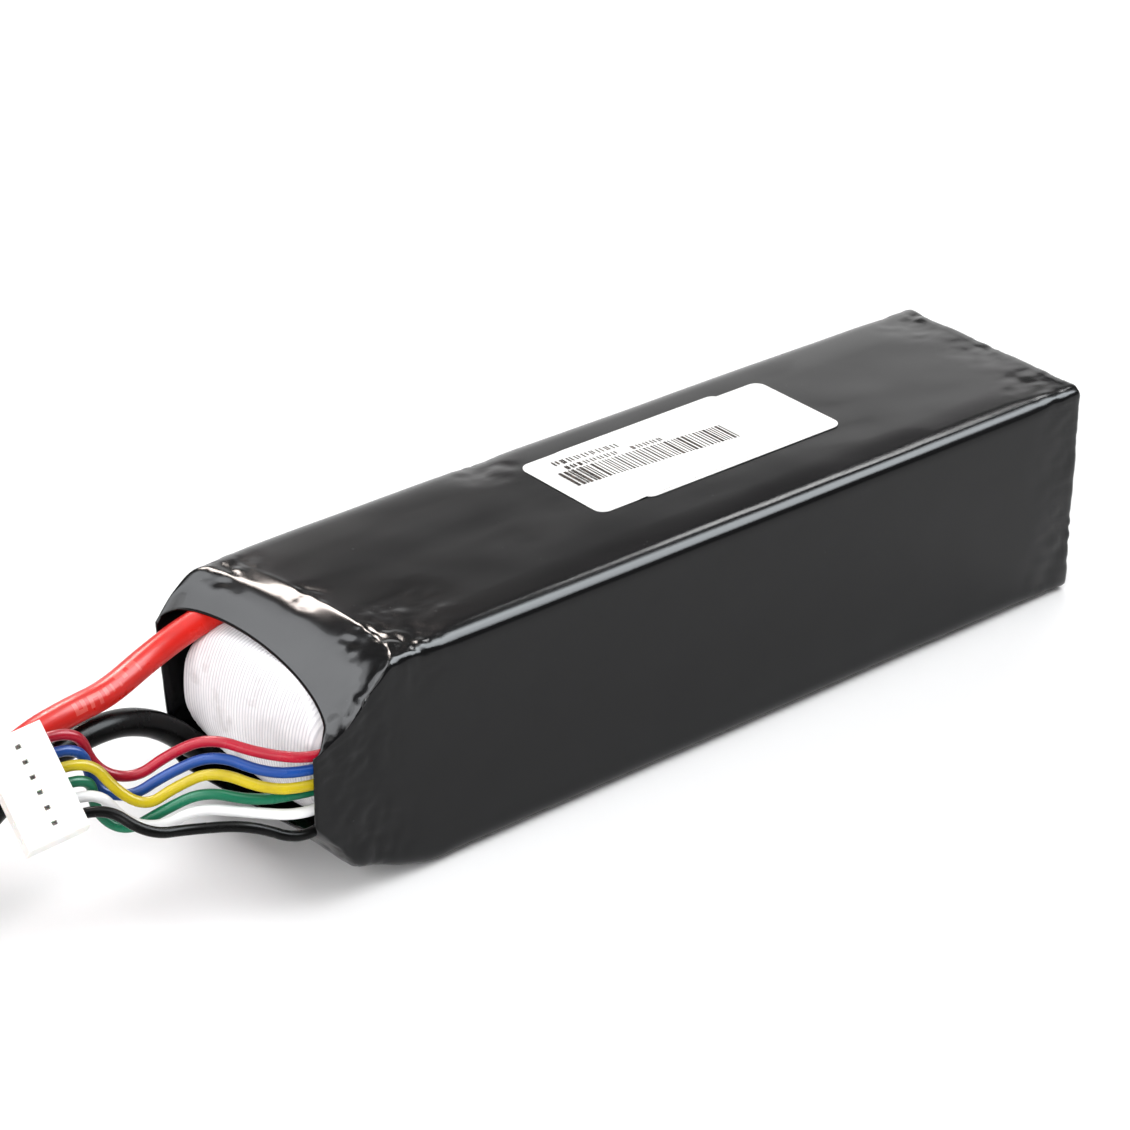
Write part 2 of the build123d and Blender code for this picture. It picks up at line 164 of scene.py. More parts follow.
def shrink_film():
    """Black heat-shrink film: a sharp gloss over a faint haze, with dust and rubs."""
    s = Shader("shrink_film")
    s.set(IOR=1.27, Coat_Weight=0.10, Coat_Roughness=0.04)
    rub = s.noise(60, 5, 0.62, s.scaled((0.25, 1, 1)))
    s.link(s.ramp(rub, [(0.3, 0.15), (0.75, 0.25)]), "Roughness")
    dust = s.ramp(s.noise(1500, 1, 0.5), [(0.77, 0.0), (0.80, 1.0)])
    sparse = s.ramp(s.noise(170, 2, 0.5), [(0.56, 0.0), (0.66, 1.0)])
    speck = s.mix(1.0, dust, sparse, "MULTIPLY")
    s.link(s.mix(speck, (0.003, 0.003, 0.0034), (0.09, 0.09, 0.09)), "Base Color")
    # The film sinks a little towards the long edges, over the pouches' soft sides.
    half = s.math("ABSOLUTE", s.across())
    past = s.math("MAXIMUM", s.math("SUBTRACT", half, CROWN_START), 0.0)
    sink = s.math("MULTIPLY", s.math("MULTIPLY", past, past), -CROWN_SINK)
    ripple = s.math("MULTIPLY", s.noise(140, 3, 0.5), RIPPLE_HEIGHT)
    s.bump(s.math("ADD", sink, ripple), 1.0, 1.0)
    return s.material


RIB_PITCH = 0.72           # millimetres between the tape's ribs, across the pack
DARK_PATCH = (-0.070, 0.0085, 0.0125)      # the middle of the dark patch, in metres
DARK_PATCH_CORE, DARK_PATCH_REACH = 0.001, 0.0095


def cloth_tape():
    """White ribbed tape: grooves painted greyer as shade, faint brown stains and one dark grey
    patch.
    """
    s = Shader("cloth_tape")
    s.set(Roughness=0.48, IOR=1.45, Sheen_Weight=0.15)
    cloud = s.noise(260, 4, 0.65, distortion=0.5)
    stain = s.ramp(s.noise(95, 4, 0.6, distortion=0.5), [(0.56, 0.0), (0.80, 1.0)])
    # A dark warm grey patch around one point, low on the far half of the face, broken up by a
    # cloud.
    close_by = s.ramp(s.distance(DARK_PATCH), [(DARK_PATCH_CORE, 1.0), (DARK_PATCH_REACH, 0.0)])
    patchy = s.ramp(cloud, [(0.46, 0.0), (0.66, 1.0)])
    dark_patch = s.mix(1.0, close_by, patchy, "MULTIPLY")
    phase = s.math("MULTIPLY", s.across(), 2 * math.pi / (RIB_PITCH * MM))
    wave = s.math("ADD", s.math("MULTIPLY", s.math("SINE", phase), 0.5), 0.5)
    # Painted shade: the grooves between the ribs, in step with the ribs' relief, are coloured
    # greyer.
    rib_groove_shade = s.ramp(wave, [(0.0, 1.0), (0.62, 0.0)])
    weave = s.ramp(s.noise(900, 2, 0.5, s.scaled((1, 1, 0.2))), [(0.3, 0.0), (0.7, 1.0)])
    base = s.mix(weave, (0.88, 0.87, 0.88), (0.80, 0.79, 0.81))
    # Painted shade in the rib grooves.
    base = s.mix(rib_groove_shade, base, (0.62, 0.61, 0.64))
    base = s.mix(stain, base, (0.42, 0.39, 0.39))
    s.link(s.mix(dark_patch, base, (0.26, 0.23, 0.22)), "Base Color")
    s.bump(s.noise(1600, 2, 0.5, s.scaled((1, 1, 0.12))), 0.3, 0.00005)
    return s.material


def paper_label():
    """White coated paper with a faint fibre."""
    s = Shader("paper_label")
    s.set(IOR=1.45)
    fibre = s.noise(700, 4, 0.65)
    pale = s.ramp(fibre, [(0.35, 0.0), (0.7, 1.0)])
    s.link(s.mix(pale, (0.88, 0.88, 0.87), (0.80, 0.80, 0.79)), "Base Color")
    s.link(s.ramp(fibre, [(0.3, 0.30), (0.7, 0.46)]), "Roughness")
    s.bump(fibre, 0.12, 0.00004)
    return s.material


def printed_ink():
    """Thermal print, brownish black and a little worn."""
    s = Shader("printed_ink")
    s.set(Roughness=0.7, IOR=1.45, Specular_IOR_Level=0.08)
    worn = s.ramp(s.noise(900, 3, 0.6), [(0.48, 0.0), (0.76, 1.0)])
    s.link(s.mix(worn, (0.035, 0.030, 0.028), (0.16, 0.12, 0.10)), "Base Color")
    return s.material


def silicone(name, colour, shadow, roughness=0.28, gloss=0.3):
    """Soft rubber insulation with a slight bloom and fine handling marks."""
    s = Shader(name)
    s.set(IOR=1.43, Specular_IOR_Level=gloss)
    cloud = s.noise(260, 4, 0.6)
    s.link(s.mix(s.ramp(cloud, [(0.35, 0.0), (0.7, 1.0)]), colour, shadow), "Base Color")
    s.link(s.ramp(cloud, [(0.3, roughness), (0.75, roughness + 0.1)]), "Roughness")
    s.bump(s.noise(1400, 3, 0.6), 0.15, 0.00003)
    return s.material


def moulded(name, colour, deep, roughness=0.38, subsurface=0.0):
    """Moulded plastic: a fine spark-eroded grain and a soft colour drift."""
    s = Shader(name)
    s.set(IOR=1.5, Subsurface_Weight=subsurface, Subsurface_Scale=0.001)
    drift = s.noise(130, 3, 0.55)
    s.link(s.mix(s.ramp(drift, [(0.3, 0.0), (0.75, 1.0)]), colour, deep), "Base Color")
    s.link(s.ramp(drift, [(0.3, roughness), (0.7, roughness + 0.12)]), "Roughness")
    s.bump(s.noise(2200, 3, 0.6), 0.2, 0.00003)
    return s.material


def metal(name, colour, tarnish, roughness=0.25, grain=(1, 1, 1)):
    """Bare or plated metal with a brushed or mottled tarnish."""
    s = Shader(name)
    s.set(Metallic=1.0)
    mark = s.noise(420, 5, 0.62, s.scaled(grain))
    s.link(s.mix(s.ramp(mark, [(0.38, 0.0), (0.72, 1.0)]), colour, tarnish), "Base Color")
    s.link(s.ramp(mark, [(0.3, roughness), (0.75, roughness + 0.2)]), "Roughness")
    s.bump(mark, 0.12, 0.00004)
    return s.material


def floor_white():
    """The studio's pale floor."""
    s = Shader("floor_white")
    s.set(Base_Color=(0.94, 0.94, 0.945, 1), Roughness=0.85, IOR=1.3)
    return s.material


# ---- mesh helpers -----------------------------------------------------------
def make_object(name, points, faces, smooth=True):
    """A mesh object from points in millimetres."""
    mesh = bpy.data.meshes.new(name)
    mesh.from_pydata([tuple(float(c) * MM for c in p) for p in points], [], faces)
    mesh.validate()
    if smooth:
        mesh.polygons.foreach_set("use_smooth", [True] * len(mesh.polygons))
    piece = bpy.data.objects.new(name, mesh)
    bpy.context.scene.collection.objects.link(piece)
    return piece


def grid_faces(rows, columns, around=False):
    """Quads over a grid of points; around joins the last column to the first."""
    faces = []
    for r in range(rows - 1):
        for c in range(columns if around else columns - 1):
            n = (c + 1) % columns
            row, above = r * columns, (r + 1) * columns
            faces.append((row + c, row + n, above + n, above + c))
    return faces


def apply_modifiers(piece):
    """Replaces a piece's mesh by its evaluated one."""
    depsgraph = bpy.context.evaluated_depsgraph_get()
    mesh = bpy.data.meshes.new_from_object(piece.evaluated_get(depsgraph))
    piece.modifiers.clear()
    piece.data = mesh


def soften_edges(piece, width):
    """Rounds the hard edges of a piece by a small bevel."""
    bevel = piece.modifiers.new("soft_edges", "BEVEL")
    bevel.width = width * MM
    bevel.segments = 2
    bevel.limit_method = "ANGLE"
    bevel.angle_limit = math.radians(35)
    bevel.harden_normals = False


# ---- shrink sleeve ----------------------------------------------------------
SIDE_POINTS = 64           # points on each of a ring's four sides
FILM = 0.35                # the film's thickness
EDGE_RADIUS = 3.0          # of the sleeve's long edges
RIM_RADIUS = 1.9           # of the corners at the rim of the mouth
TAPER_START, TAPER = 70.0, 10           # past this x the edges tighten towards the rear
BOW_POWER = 0.45           # below 1, a bow is flat in the middle
RING_PITCH = 1.0           # between the rings of the box
RING_STEPS = 8             # rings drawn for each listed ring of the mouth
SMOOTHING = 5              # passes along the sleeve
FAR_TOP = 2 * SIDE_POINTS  # where the far top corner lies on a ring
FAR_TOP_SPREAD = 10.0      # how many points the tighter far top corner takes in
FAR_TOP_TIGHT = 0.67       # its radius as a share of the other corners' radius
SWELL_OUT, SWELL_UP = 1.1, 0.4          # of the film past the cells' far top edge
SWELL_START, SWELL_WIDTH = 12.0, 9.5    # across the pack
SWELL_ALONG = ((-82, -70, -60, -15, 45, 80), (0.4, 0.8, 1.0, 1.0, 0.6, 0.25))

# The mouth's rings, from the box to the rim: near bottom, near top, far top and far
# bottom corner, then the bows that push out the middle of the top and of the bottom.
MOUTH_RINGS = [
    ((-56, -21.5, 0), (-56, -21.5, 39.8), (-56, 21.5, 39.8), (-56, 21.5, 0),
     (0, 0, 0), (0, 0, 0)),
    ((-60.5, -21.5, 0.2), (-62, -21.5, 39.8), (-62, 21.5, 39.8), (-62, 21.5, 0),
     (1.0, 0, 0), (0, 0, 0)),
    ((-66.5, -21.5, 2.0), (-65.8, -21.5, 39.8), (-68, 21.5, 39.8), (-66.5, 21.5, 0.4),
     (2.6, 0, 0), (0, 0, -0.3)),
    ((-70.8, -21.5, 3.8), (-68.6, -21.5, 39.7), (-71.5, 21.4, 39.8), (-71, 21.3, 2.2),
     (4.7, 0, 0.1), (0.5, 0, -0.8)),
    ((-75.0, -21.5, 4.8), (-72.6, -21.4, 35.9), (-75.2, 21.1, 39.5), (-75.2, 21.1, 5.2),
     (5.2, 0, 1.1), (1.0, 0, -1.5)),
    ((-78.4, -21.4, 10.0), (-76.8, -21.4, 31.3), (-79, 21.0, 36.8), (-78.2, 21.0, 7.0),
     (6.0, 0, 2.8), (1.5, 0, -2.2)),
    ((-82.2, -21.1, 14.6), (-82.0, -21.1, 28.4), (-82, 20.7, 33.6), (-80.4, 20.8, 7.6),
     (7.0, 0, 3.2), (1.5, 0, -2.6)),
]
# The rear fold: how far each ring lies in from the sides, its x and its corner radius.
REAR_FOLD = [
    (7.0, 81.2, 4.0), (5.2, 81.4, 4.0), (3.4, 81.5, 4.0), (2.1, 81.5, 2.0),
    (1.2, 81.4, 2.0), (0.55, 81.1, 2.0), (0.15, 80.7, 2.0), (0.0, 80.1, 2.0),
]


def ring(corners, top, bottom):
    """A closed loop through four corners, its top and bottom sides bowed."""
    t = np.linspace(0, 1, SIDE_POINTS, endpoint=False)[:, None]
    bow = (4 * t * (1 - t)) ** BOW_POWER
    bows = [np.zeros(3), np.array(top, float), np.zeros(3), np.array(bottom, float)]
    sides = []
    for side in range(4):
        start, end = np.array(corners[side], float), np.array(corners[(side + 1) % 4], float)
        sides.append(start + (end - start) * t + bow * bows[side])
    return np.vstack(sides)


def rounded(loop, radius):
    """Rounds a loop's corners by averaging over the length of about two radii."""
    step = np.linalg.norm(loop - np.roll(loop, 1, axis=0), axis=1).mean()
    reach = round(0.98 * radius / step)
    return sum(np.roll(loop, k, axis=0) for k in range(-reach, reach + 1)) / (2 * reach + 1)


def edge_rounded(loop, radius):
    """Rounds a loop's corners, the far top one a little less."""
    share = np.exp(-((np.arange(len(loop)) - FAR_TOP) / FAR_TOP_SPREAD) ** 2)[:, None]
    tight = rounded(loop, FAR_TOP_TIGHT * radius)
    return rounded(loop, radius) * (1 - share) + tight * share


def swell(rings):
    """Lets the film stand off the cells along the far top edge, most towards the mouth."""
    x, y, z = rings[:, :, 0], rings[:, :, 1], rings[:, :, 2]
    along = np.interp(x, *SWELL_ALONG)
    across = np.clip((y - SWELL_START) / SWELL_WIDTH, 0, 1) ** 2
    share = along * across * np.clip(z / HEIGHT, 0, 1) ** 3
    rings[:, :, 1] += SWELL_OUT * share
    rings[:, :, 2] += SWELL_UP * share
    return rings


def box_ring(x, inset):
    """A plain ring of the box at x, moved in from all four sides."""
    low, high, half = inset, HEIGHT - inset, HALF_WIDTH - inset
    corners = [(x, -half, low), (x, -half, high), (x, half, high), (x, half, low)]
    return ring(corners, (0, 0, 0), (0, 0, 0))


def blend_rings(rings, position):
    """The mouth's ring at a position between the listed ones."""
    index = min(int(position), len(rings) - 2)
    share = position - index
    return rings[index] * (1 - share) + rings[index + 1] * share


def sleeve_rings():
    """All of the sleeve's rings, from the rear opening to the rim of the mouth."""
    rings = []
    for inset, x, radius in REAR_FOLD:
        rings.append(edge_rounded(box_ring(x, inset), radius))
    body_end = MOUTH_RINGS[0][0][0]
    for x in np.arange(REAR_FOLD[-1][1] - RING_PITCH, body_end, -RING_PITCH):
        radius = EDGE_RADIUS - max(0.0, (x - TAPER_START) / TAPER)
        rings.append(edge_rounded(box_ring(x, 0.0), radius))
    keys = [ring(key[:4], *key[4:]) for key in MOUTH_RINGS]
    last = RING_STEPS * (len(keys) - 1)
    for k in range(1, last + 1):
        radius = EDGE_RADIUS - (EDGE_RADIUS - RIM_RADIUS) * k / last
        rings.append(edge_rounded(blend_rings(keys, k / RING_STEPS), radius))
    return swell(np.array(rings))


def smooth_lengthwise(rings, first, passes):
    """Softens the folds between rings, keeping the first and last ones."""
    for _ in range(passes):
        middle = (rings[first - 1:-2] + 2 * rings[first:-1] + rings[first + 1:]) / 4
        rings = np.concatenate([rings[:first], middle, rings[-1:]])
    return rings


def near(point, centre, radius):
    """1 at a centre, falling smoothly to 0 at a radius."""
    d = (Vector(point) - Vector(centre)).length / radius
    return max(0.0, 1 - d * d) ** 2


# Where the film is puckered: the centre, the radius, and the wrinkles' depth and size.
PUCKERS = [
    ((-63, -18, 38.5), 10, 0.55, 3.2),
    ((-56, -10, 39.8), 11, 0.28, 4.0),
    ((-66, 3, 39.8), 5, 0.28, 2.6),
    ((-66.5, -12, 39.8), 6, 0.40, 2.6),
    ((-70, 18, 39), 8, 0.40, 3.0),
    ((-76, -21, 26), 12, 0.60, 4.0),
    ((-74, -20.5, 36), 7, 0.55, 2.2),
    ((-80, -21, 27), 5, 0.35, 2.0),
    ((-74, -21, 8), 14, 0.60, 4.0),
    ((-72, 0, 3), 22, 0.50, 5.0),
    ((-76, 20, 14), 15, 0.45, 4.0),
    ((78, -17, 38), 12, 0.45, 3.6),
    ((80, 0, 39), 10, 0.35, 3.0),
    ((79, 17, 38), 12, 0.50, 3.6),
    ((80, -20, 12), 10, 0.60, 3.0),
    ((79, -20, 26), 12, 0.30, 4.5),
    ((79, -18, 3), 14, 0.50, 4.0),
    ((79, 18, 3), 14, 0.50, 4.0),
    ((81, 0, 20), 26, 0.35, 5.0),
    ((-18, 21, 39), 9, 0.45, 3.4),
]
WAVE_DEPTH, DIMPLE_DEPTH = 0.16, 0.07   # of the long waves and of the small dimples
WAVE_SIZE, DIMPLE_SIZE = (34, 14, 14), (9, 7, 7)
DIMPLE_SHIFT = 40          # keeps the dimples' pattern apart from the waves'
FOLD_DEPTH = 0.45          # a fold's depth as a share of its pucker's depth
# The folds' fractal: its dimension, lacunarity, octaves, offset and gain.
FOLD_FRACTAL = (0.8, 2.1, 3, 1.0, 1.6)


def film_depth(point):
    """How far the film lies in from its plain shape at a point."""
    along, across, up = (c / size for c, size in zip(point, WAVE_SIZE))
    depth = WAVE_DEPTH * (0.5 + 0.5 * noise.noise(Vector((along, across, up))))
    along, across, up = (c / size for c, size in zip(point, DIMPLE_SIZE))
    dimple = noise.noise(Vector((along + DIMPLE_SHIFT, across, up)))
    depth += DIMPLE_DEPTH * (0.5 + 0.5 * dimple)
    for centre, radius, strength, size in PUCKERS:
        weight = near(point, centre, radius)
        if weight > 0:
            place = Vector([c / size for c in point])
            fold = noise.ridged_multi_fractal(place, *FOLD_FRACTAL)
            depth += strength * weight * max(0.0, fold) * FOLD_DEPTH
    return depth


def ring_normals(rings):
    """Outward normals of a grid of rings."""
    across = np.roll(rings, -1, axis=1) - np.roll(rings, 1, axis=1)
    along = np.gradient(rings, axis=0)
    normals = np.cross(along, across)
    lengths = np.linalg.norm(normals, axis=2, keepdims=True)
    normals = normals / np.maximum(lengths, 1e-9)
    centre = rings.mean(axis=1, keepdims=True)
    outward = np.sign(((rings - centre) * normals).sum(axis=2).mean())
    return normals * outward


def make_sleeve():
    """The film: rounded rings with wrinkles, joined and given a thickness."""
    rings = smooth_lengthwise(sleeve_rings(), len(REAR_FOLD), SMOOTHING)
    normals = ring_normals(rings)
    depths = np.array([[film_depth(p) for p in loop] for loop in rings])
    rings = rings - normals * depths[:, :, None]
    count, columns = rings.shape[:2]
    faces = grid_faces(count, columns, around=True)
    sleeve = make_object("sleeve", rings.reshape(-1, 3), faces)
    solid = sleeve.modifiers.new("film", "SOLIDIFY")
    solid.thickness = FILM * MM
    solid.offset = -1
    solid.use_even_offset = False
    apply_modifiers(sleeve)
    sleeve.data.polygons.foreach_set("use_smooth", [True] * len(sleeve.data.polygons))
    shade(shrink_film(), sleeve)
    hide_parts("shrink_sleeve")
    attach(sleeve, "root")


# ---- labels and their print -------------------------------------------------
def rounded_outline(x0, x1, y0, y1, radius, steps=8):
    """A rounded rectangle's outline, anticlockwise."""
    centres = [(x1 - radius, y0 + radius, -90), (x1 - radius, y1 - radius, 0),
               (x0 + radius, y1 - radius, 90), (x0 + radius, y0 + radius, 180)]
    outline = []
    for cx, cy, start in centres:
        for k in range(steps + 1):
            angle = math.radians(start + 90 * k / steps)
            outline.append((cx + radius * math.cos(angle), cy + radius * math.sin(angle)))
    return outline


PAPER = 0.11               # a sticker's thickness
PAPER_CORNER = 2.0         # the radius of its corners
PAPER_SINK = 0.02          # how far it presses into the film
LAP_LENGTH, LAP_GAP = 2.0, 0.004        # where the upper sticker climbs over the lower
INK_HEIGHT, INK_SINK = 0.012, 0.002
PRINT_SLANT = -0.10        # the print sits a little askew on its sticker
BARS_LEFT, BARS_RIGHT = -10.2, 22.0
BARS_LOW, BARS_HIGH = 4.2, 9.6
BAR_WIDTHS, BAR_GAPS = (0.26, 0.26, 0.38, 0.55), (0.28, 0.34, 0.48)
# Each line of marks: its y, the marks' height, and where the line starts and ends.
MARK_LINES = ((12.1, 1.5, -8.6, 5.4), (10.0, 1.3, -7.8, 12.6))
MARK_WIDTHS, MARK_GAP = (0.5, 0.6, 0.7), 0.36       # as shares of a mark's height
STROKE, BLANK_CHANCE = 0.3, 0.12
PRINT_SEED = 11


def make_label(name, node, base):
    """A thin sticker over its CAD node's outline; base gives its underside at x."""
    low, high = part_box(node)
    outline = rounded_outline(low.x / MM, high.x / MM, low.y / MM, high.y / MM, PAPER_CORNER)
    sheet = bmesh.new()
    flat = [sheet.verts.new((x, y, 0)) for x, y in outline]
    sheet.faces.new(flat)
    for cut in range(int(low.x / MM) + 1, int(high.x / MM) + 1):
        geometry = sheet.verts[:] + sheet.edges[:] + sheet.faces[:]
        bmesh.ops.bisect_plane(sheet, geom=geometry, plane_co=(cut, 0, 0), plane_no=(1, 0, 0))
    bmesh.ops.triangulate(sheet, faces=sheet.faces[:])
    sheet.verts.ensure_lookup_table()
    points = [(v.co.x, v.co.y, base(v.co.x)) for v in sheet.verts]
    faces = [tuple(v.index for v in f.verts) for f in sheet.faces]
    sheet.free()
    label = make_object(name, points, faces, smooth=False)
    solid = label.modifiers.new("paper", "SOLIDIFY")
    solid.thickness = PAPER * MM
    solid.offset = 1
    apply_modifiers(label)
    shade(paper_label(), label)
    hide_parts(node)
    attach(label, "root")


def print_tiles(name, outlines, z, material):
    """Printed marks as thin tiles, each from a four-cornered outline."""
    points, faces = [], []
    for outline in outlines:
        start = len(points)
        points += [(x, y, z) for x, y in outline]
        points += [(x, y, z + INK_HEIGHT) for x, y in outline]
        faces.append(tuple(start + k for k in (4, 5, 6, 7)))
        faces.append(tuple(start + k for k in (3, 2, 1, 0)))
        faces += [(start + k, start + (k + 1) % 4, start + 4 + (k + 1) % 4, start + 4 + k)
                  for k in range(4)]
    tiles = make_object(name, points, faces, smooth=False)
    shade(material, tiles)
    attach(tiles, "root")


def printed_tile(left, right, foot, head):
    """The outline of one printed mark, turned with the slanted print."""
    corners = ((left, foot), (right, foot), (right, head), (left, head))
    return [(x, y + PRINT_SLANT * (x - BARS_LEFT)) for x, y in corners]


def make_labels():
    """Two stickers, the upper lapping over the lower, with random bars and strokes."""
    top = HEIGHT - PAPER_SINK
    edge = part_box("label_lower")[0].x / MM
    make_label("label_lower_sheet", "label_lower", lambda x: top)

    def lapped(x):
        rise = min(1.0, max(0.0, (x - (edge - LAP_LENGTH)) / LAP_LENGTH))
        return top + (PAPER + LAP_GAP) * rise * rise * (3 - 2 * rise)

    make_label("label_upper_sheet", "label_upper", lapped)
    ink = printed_ink()
    rng = random.Random(PRINT_SEED)
    z = lapped(edge + LAP_LENGTH) + PAPER - INK_SINK
    bars, x = [], BARS_LEFT
    while x < BARS_RIGHT:
        width = rng.choice(BAR_WIDTHS)
        bars.append(printed_tile(x, x + width, BARS_LOW, BARS_HIGH))
        x += width + rng.choice(BAR_GAPS)
    print_tiles("label_bars", bars, z, ink)
    marks = []
    for y, height, x, end in MARK_LINES:
        while x < end:
            width = rng.choice(MARK_WIDTHS) * height
            if rng.random() > BLANK_CHANCE:
                lifted = y + STROKE * rng.random()
                for left, foot in ((x, y), (x + width - STROKE, lifted)):
                    marks.append(printed_tile(left, left + STROKE, foot, y + height))
            x += width + MARK_GAP * height
    print_tiles("label_marks", marks, z, ink)


# ---- taped pads -------------------------------------------------------------
PAD_COLUMNS, PAD_ROWS = 300, 72
PAD_SQUARENESS = 3.2       # the power of the face's outline; 2 would be an ellipse
PAD_ROUND = 0.12           # the share of the face that turns back at its edge
ARCH_POWER, ARCH_ACROSS = 2.4, 0.15     # how the crown falls upwards, and sideways
RIB_HEIGHT = 0.11
TAUT_SHARE = 0.4           # of the ribs' height that is left where the tape is taut
HOLLOW, HOLLOW_SIZE = 0.25, (6, 8)      # soft hollows in the foam: depth, width and height
HOLLOW_SEED = 9
FRONT_CROWN, REAR_CROWN = 4.6, 0.8
FRONT_DROP = 2.0           # how far the front tape stays below its block's top


def pad_face(x_front, x_back, y_range, z_range, crown, facing):
    """The points of a pad's ribbed face: it arches back from x_front towards x_back."""
    width, height = y_range[1] - y_range[0], z_range[1] - z_range[0]
    y_mid, z_mid = sum(y_range) / 2, sum(z_range) / 2
    points = []
    for r in range(PAD_ROWS):
        v = -1 + 2 * r / (PAD_ROWS - 1)
        for c in range(PAD_COLUMNS):
            u = -1 + 2 * c / (PAD_COLUMNS - 1)
            square = max(abs(u), abs(v))
            norm = (abs(u) ** PAD_SQUARENESS + abs(v) ** PAD_SQUARENESS) ** (1 / PAD_SQUARENESS)
            pull = square / norm if norm > 0 else 1.0
            y = y_mid + u * pull * width / 2
            z = z_mid + v * pull * height / 2
            edge = max(0.0, (square - (1 - PAD_ROUND)) / PAD_ROUND)
            fall = 1 - math.sqrt(max(0.0, 1 - edge * edge))
            arch = crown * (abs(v * pull) ** ARCH_POWER + ARCH_ACROSS * u * u)
            x = x_front + facing * arch
            x += (x_back - x) * fall
            rib = math.sin(y * 2 * math.pi / RIB_PITCH)
            place = Vector((y / HOLLOW_SIZE[0], z / HOLLOW_SIZE[1], HOLLOW_SEED))
            hollow = 0.5 + 0.5 * noise.noise(place)
            relief = RIB_HEIGHT * rib * (TAUT_SHARE + (1 - TAUT_SHARE) * hollow)
            x += facing * (relief - HOLLOW * hollow)
            points.append((x, y, z))
    return points


def ribbed_pad(name, x_front, x_back, y_range, z_range, crown, nodes):
    """A foam block under ribbed tape, with its crowned face at x_front."""
    facing = 1 if x_back > x_front else -1
    points = pad_face(x_front, x_back, y_range, z_range, crown, facing)
    pad = make_object(name, points, grid_faces(PAD_ROWS, PAD_COLUMNS))
    rim = bmesh.new()
    rim.from_mesh(pad.data)
    border = [e for e in rim.edges if e.is_boundary]
    made = bmesh.ops.extrude_edge_only(rim, edges=border)["geom"]
    for part in made:
        if isinstance(part, bmesh.types.BMVert):
            part.co.x = x_back * MM
    loop = [e for e in made if isinstance(e, bmesh.types.BMEdge) and e.is_boundary]
    bmesh.ops.contextual_create(rim, geom=loop)
    bmesh.ops.recalc_face_normals(rim, faces=rim.faces[:])
    rim.to_mesh(pad.data)
    rim.free()
    pad.data.polygons.foreach_set("use_smooth", [True] * len(pad.data.polygons))
    shade(cloth_tape(), pad)
    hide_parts(*nodes)
    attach(pad, "root")


def make_pads():
    """The front block under the mouth, and the rear pad behind the cells."""
    low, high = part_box("front_foam_block")
    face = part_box("front_tape")[0]
    ribbed_pad("front_pad", face.x / MM, high.x / MM, (low.y / MM, high.y / MM),
               (low.z / MM, high.z / MM - FRONT_DROP), FRONT_CROWN,
               ["front_tape", "front_foam_block"])
    low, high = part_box("rear_foam_pad")
    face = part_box("rear_tape")[1]
    ribbed_pad("rear_pad", face.x / MM, low.x / MM, (low.y / MM, high.y / MM),
               (low.z / MM, high.z / MM), REAR_CROWN, ["rear_tape", "rear_foam_pad"])


# ---- leads ------------------------------------------------------------------
POSITIVE_ROUTE = [
    (-0.0707, 0.0154, 0.0350), (-0.0773, 0.0170, 0.0327), (-0.0855, 0.0173, 0.0296),
    (-0.0951, 0.0148, 0.0276), (-0.1025, 0.0138, 0.0277), (-0.1104, 0.0137, 0.0263),
    (-0.1187, 0.0137, 0.0219), (-0.1280, 0.0112, 0.0170), (-0.1370, 0.0086, 0.0116),
    (-0.1460, 0.0070, 0.0072), (-0.1555, 0.0064, 0.00405), (-0.1645, 0.0064, 0.00405),
]
NEGATIVE_ROUTE = [
    (-0.0707, 0.0135, 0.0076), (-0.0775, 0.0155, 0.0098), (-0.0838, 0.0164, 0.0169),
    (-0.0917, 0.0152, 0.0215), (-0.0995, 0.0142, 0.0226), (-0.1071, 0.0136, 0.0212),
    (-0.1150, 0.0136, 0.0176), (-0.1230, 0.0122, 0.0134), (-0.1315, 0.0082, 0.0094),
    (-0.1410, 0.0030, 0.0060), (-0.1535, -0.0008, 0.00405), (-0.1645, -0.0008, 0.00405),
]
SENSE_ROUTES = {
    "red": [
        (-0.0696, -0.0182, 0.0264), (-0.0752, -0.0189, 0.0265), (-0.0811, -0.0185, 0.0262),
        (-0.0862, -0.0127, 0.0264), (-0.0906, -0.0061, 0.0279), (-0.0952, -0.0019, 0.0248),
        (-0.0999, 0.0009, 0.0207), (-0.1048, 0.0041, 0.0228),
    ],
    "blue": [
        (-0.0696, -0.0182, 0.0241), (-0.0752, -0.0189, 0.0242), (-0.0813, -0.0184, 0.0241),
        (-0.0864, -0.0144, 0.0238), (-0.0911, -0.0078, 0.0261), (-0.0968, -0.0033, 0.0225),
        (-0.1020, -0.0008, 0.0190), (-0.1063, 0.0024, 0.0209),
    ],
    "yellow": [
        (-0.0696, -0.0182, 0.0218), (-0.0752, -0.0190, 0.0219), (-0.0815, -0.0193, 0.0220),
        (-0.0870, -0.0157, 0.0217), (-0.0922, -0.0092, 0.0243), (-0.0971, -0.0056, 0.0213),
        (-0.1011, -0.0044, 0.0191), (-0.1044, -0.0018, 0.0214),
    ],
    "green": [
        (-0.0696, -0.0182, 0.0198), (-0.0754, -0.0186, 0.0199), (-0.0818, -0.0174, 0.0200),
        (-0.0885, -0.0143, 0.0197), (-0.0942, -0.0094, 0.0215), (-0.0991, -0.0054, 0.0180),
        (-0.1041, -0.0027, 0.0148), (-0.1075, 0.0004, 0.0181),
    ],
    "white": [
        (-0.0696, -0.0182, 0.0179), (-0.0756, -0.0190, 0.0179), (-0.0832, -0.0192, 0.0175),
        (-0.0892, -0.0146, 0.0181), (-0.0954, -0.0092, 0.0189), (-0.1007, -0.0073, 0.0165),
        (-0.1052, -0.0041, 0.0178),
    ],
    "black": [
        (-0.0696, -0.0182, 0.0160), (-0.0758, -0.0190, 0.0159), (-0.0833, -0.0192, 0.0129),
        (-0.0904, -0.0157, 0.0170), (-0.0976, -0.0108, 0.0168), (-0.1049, -0.0101, 0.0183),
    ],
}
